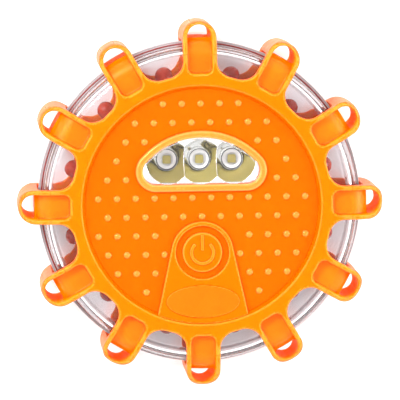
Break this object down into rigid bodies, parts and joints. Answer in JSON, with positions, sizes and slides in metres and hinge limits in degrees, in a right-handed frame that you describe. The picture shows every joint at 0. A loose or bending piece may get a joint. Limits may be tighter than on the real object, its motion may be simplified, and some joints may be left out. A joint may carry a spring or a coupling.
{
  "type": "led safety flare",
  "caption": "Round roadside warning light: looped rubber bumper, clear edge windows over red LEDs, face torch and power button, magnetic back, fold-out hook.",
  "frame": {"origin": "centre of the back plane, on which the bumper's back ring rests", "axes": "+Z out of the face, +Y towards the lug at 12 o'clock above the torch window, +X to the right seen from the front"},
  "size_m": [0.105, 0.105, 0.033],
  "materials": {
    "bumper_rubber": "satin orange thermoplastic rubber",
    "panel_rubber": "satin deep orange rubber with raised dots",
    "button_rubber": "satin orange rubber",
    "door_plastic": "fine textured orange plastic",
    "clear_plastic": "clear polished polycarbonate",
    "seal_silicone": "dark red silicone",
    "chrome": "vacuum metallised mirror",
    "white_led": "clear epoxy over yellow phosphor",
    "red_led": "tinted epoxy",
    "board": "green solder mask",
    "black_plastic": "moulded",
    "plunger_plastic": "moulded",
    "cell_wrap": "printed film sleeve",
    "steel": "nickel plated",
    "hook_steel": "satin stamped steel",
    "magnet_nickel": "nickel plated",
    "red_wire": "insulation",
    "black_wire": "insulation"
  },
  "bodies": {
    "housing": {"rubber_bumper": "bumper_rubber", "front_panel": "panel_rubber", "battery_door": "door_plastic", "front_housing": "clear_plastic", "rear_housing": "clear_plastic", "torch_lens": "clear_plastic", "housing_seal": "seal_silicone", "door_seal": "seal_silicone", "torch_reflector": "chrome", "torch_led_left": "white_led", "torch_led_middle": "white_led", "torch_led_right": "white_led", "side_led_01": "red_led", "side_led_02": "red_led", "side_led_03": "red_led", "side_led_04": "red_led", "side_led_05": "red_led", "side_led_06": "red_led", "side_led_07": "red_led", "side_led_08": "red_led", "side_led_09": "red_led", "side_led_10": "red_led", "side_led_11": "red_led", "side_led_12": "red_led", "main_board": "board", "tact_switch": "black_plastic", "driver_chip": "black_plastic", "battery_tray": "black_plastic", "battery_cell_1": "cell_wrap", "battery_cell_2": "cell_wrap", "battery_cell_3": "cell_wrap", "cell_spring_1": "steel", "cell_spring_2": "steel", "cell_spring_3": "steel", "cell_contact_1": "steel", "cell_contact_2": "steel", "cell_contact_3": "steel", "door_screw_1": "steel", "door_screw_2": "steel", "door_screw_3": "steel", "door_screw_4": "steel", "housing_screw_1": "steel", "housing_screw_2": "steel", "housing_screw_3": "steel", "housing_screw_4": "steel", "hook_pin": "steel", "magnet": "magnet_nickel", "battery_lead_red": "red_wire", "battery_lead_black": "black_wire"},
    "button": {"power_button": "button_rubber", "button_plunger": "plunger_plastic"},
    "hook": {"hanging_hook": "hook_steel"}
  },
  "joints": [
    {"name": "power_button_press", "type": "slide", "parent": "housing", "child": "button", "axis": [0, 0, -1], "range_m": [0, 0.0007], "stiffness_N_per_m": 4000},
    {"name": "hook_swing", "type": "hinge", "parent": "housing", "child": "hook", "pos_m": [0, 0.0295, 0.00135], "axis": [1, 0, 0], "range_deg": [0, 180]}
  ]
}
